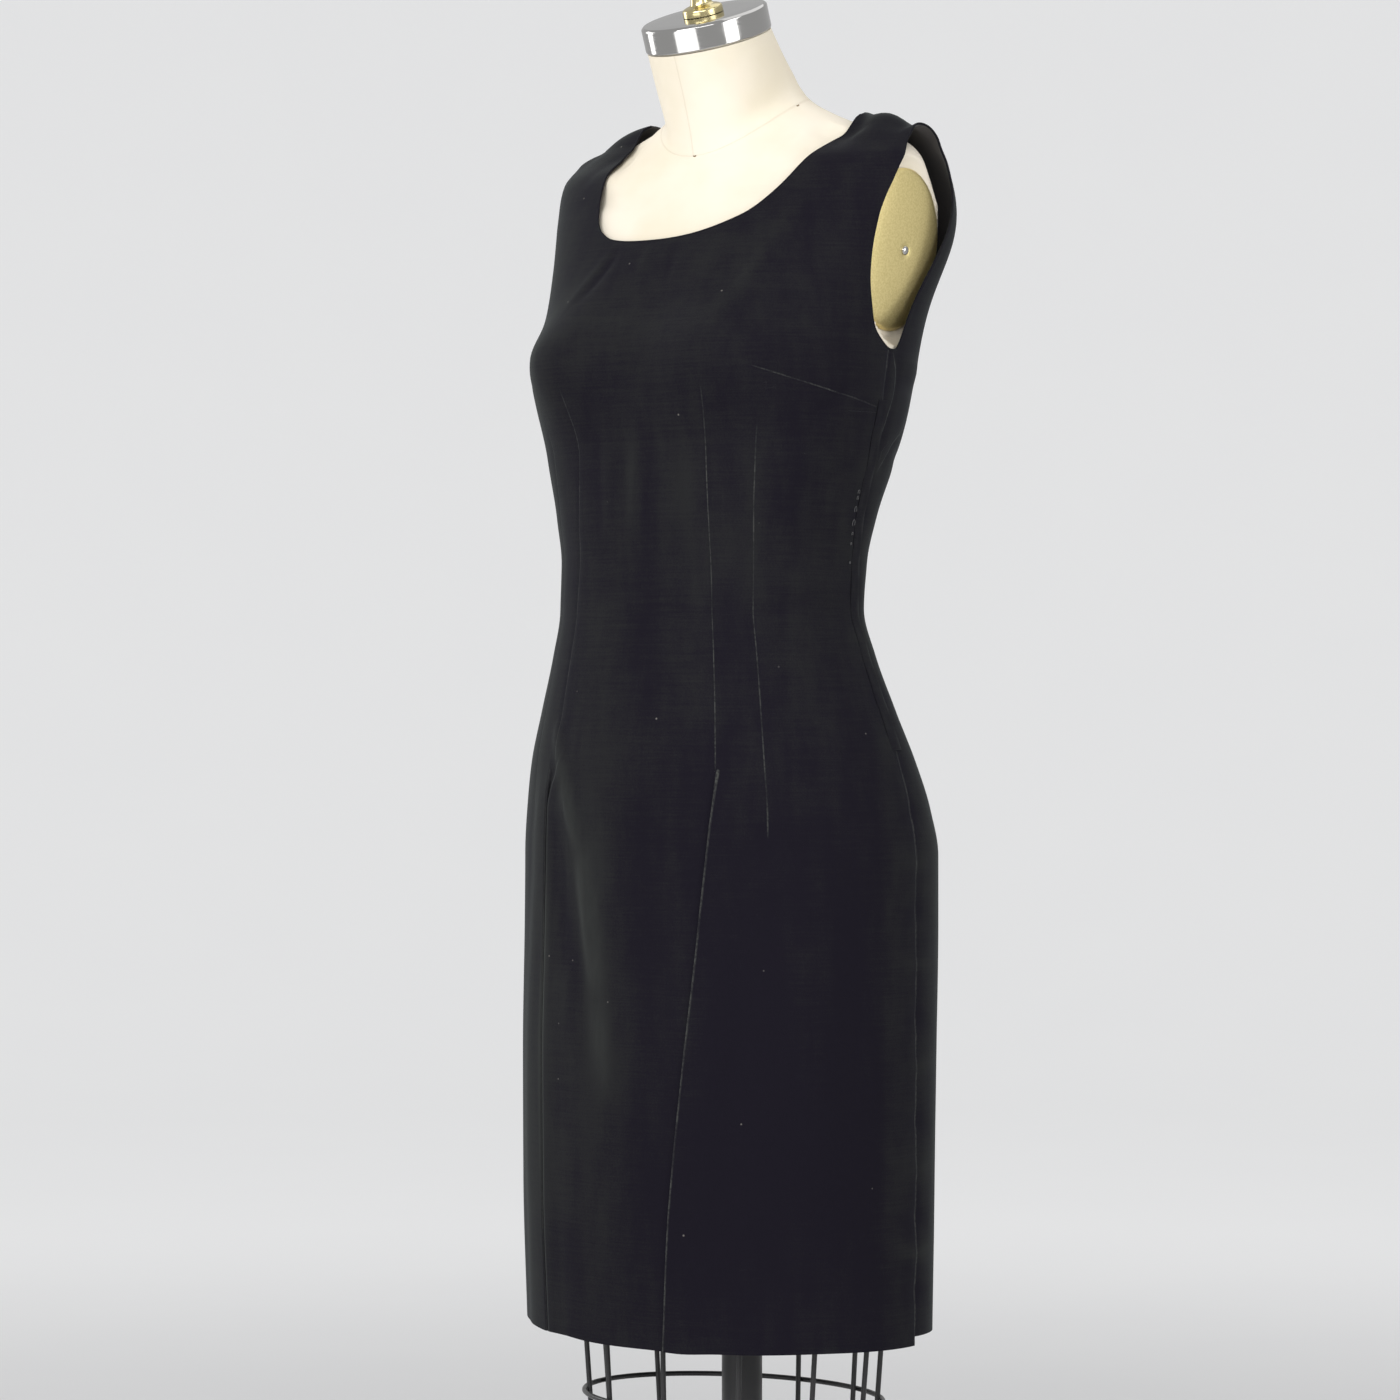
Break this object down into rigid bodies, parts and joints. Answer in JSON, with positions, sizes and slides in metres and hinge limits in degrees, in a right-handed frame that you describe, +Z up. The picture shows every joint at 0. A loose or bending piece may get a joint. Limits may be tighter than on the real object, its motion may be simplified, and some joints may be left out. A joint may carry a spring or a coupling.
{
  "type": "jumper dress on dress form",
  "caption": "Sleeveless fitted knee-length velvet dress with scoop neck, darts and released pleats, worn by a limbless dress form on a pole stand.",
  "frame": {"origin": "on the floor, on the axis of the stand's pole", "axes": "+Z up, -Y is the wearer's front, +X is the wearer's left"},
  "size_m": [0.48, 0.48, 1.5219],
  "materials": {
    "velvet": "near-black cotton velvet with a soft sheen at grazing angles",
    "muslin": "tight cream muslin cover",
    "gold_paint": "satin gold paint",
    "brass": "polished brass",
    "brushed_steel": "turned and brushed steel",
    "black_enamel": "black enamel"
  },
  "bodies": {
    "root": {"dress_front": "velvet", "dress_back": "velvet", "side_zip_lap": "velvet", "form_torso": "muslin", "arm_plate_left": "gold_paint", "arm_plate_right": "gold_paint", "arm_screw_left": "brushed_steel", "arm_screw_right": "brushed_steel", "neck_cap": "brushed_steel", "neck_knob": "brass", "cage_rod_01": "black_enamel", "cage_rod_02": "black_enamel", "cage_rod_03": "black_enamel", "cage_rod_04": "black_enamel", "cage_rod_05": "black_enamel", "cage_rod_06": "black_enamel", "cage_rod_07": "black_enamel", "cage_rod_08": "black_enamel", "cage_rod_09": "black_enamel", "cage_rod_10": "black_enamel", "cage_rod_11": "black_enamel", "cage_rod_12": "black_enamel", "cage_ring_1": "black_enamel", "cage_ring_2": "black_enamel", "cage_ring_3": "black_enamel", "stand_pole": "black_enamel", "stand_hub": "black_enamel", "stand_base": "black_enamel"}
  },
  "joints": []
}
